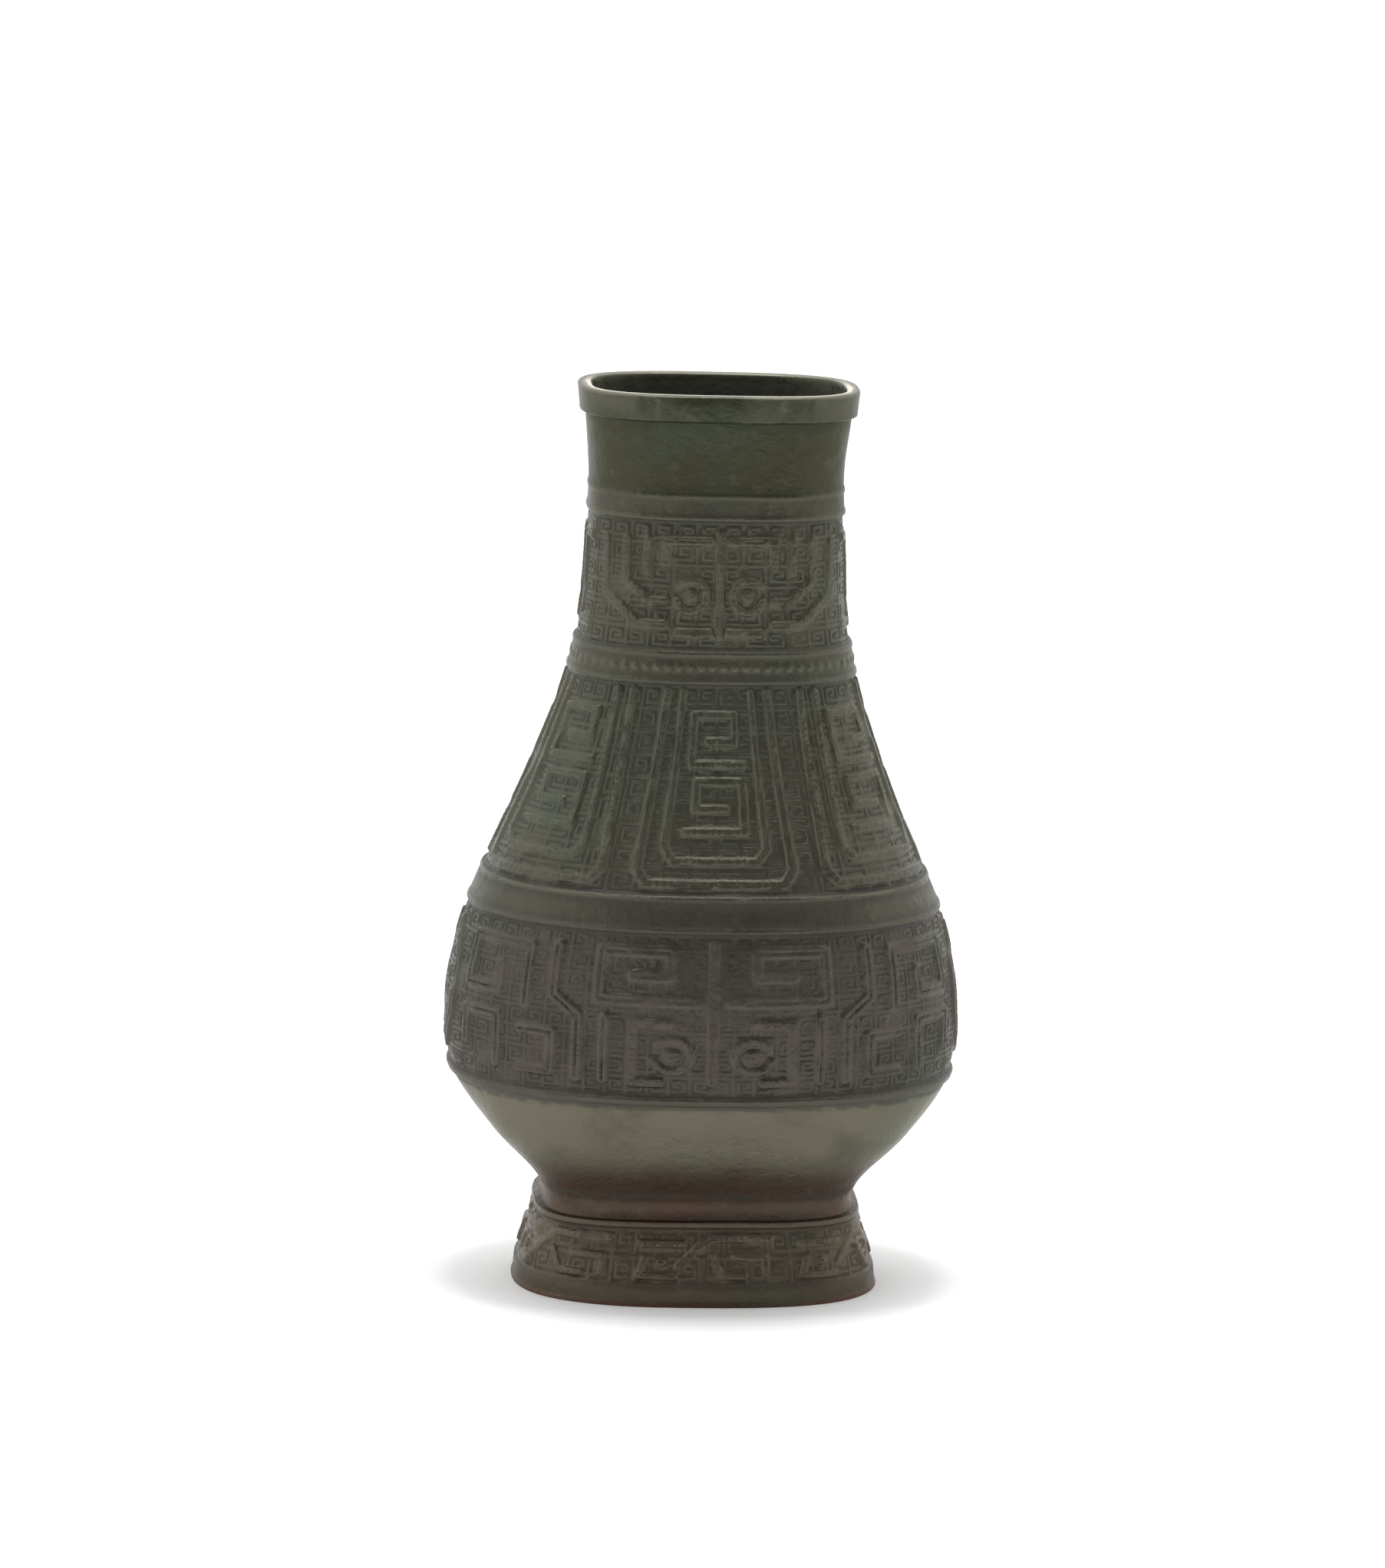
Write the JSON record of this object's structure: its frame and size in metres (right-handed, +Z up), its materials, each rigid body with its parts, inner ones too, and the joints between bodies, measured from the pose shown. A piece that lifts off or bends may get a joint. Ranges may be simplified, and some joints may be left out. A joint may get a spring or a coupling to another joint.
{
  "type": "bronze vase",
  "caption": "Tall hollow bronze vase of rounded oblong section, with a pear-shaped body, a straight neck, a flared foot and bands of low relief.",
  "frame": {"origin": "centre of the foot ring's underside, which is the plane that the vase stands on", "axes": "+Z up through the mouth, +X along the broad side, and the front, with one of the two masks, faces -Y"},
  "size_m": [0.142, 0.0934, 0.25],
  "materials": {
    "bronze": "satin"
  },
  "bodies": {
    "root": {"vase": "bronze"}
  },
  "joints": []
}
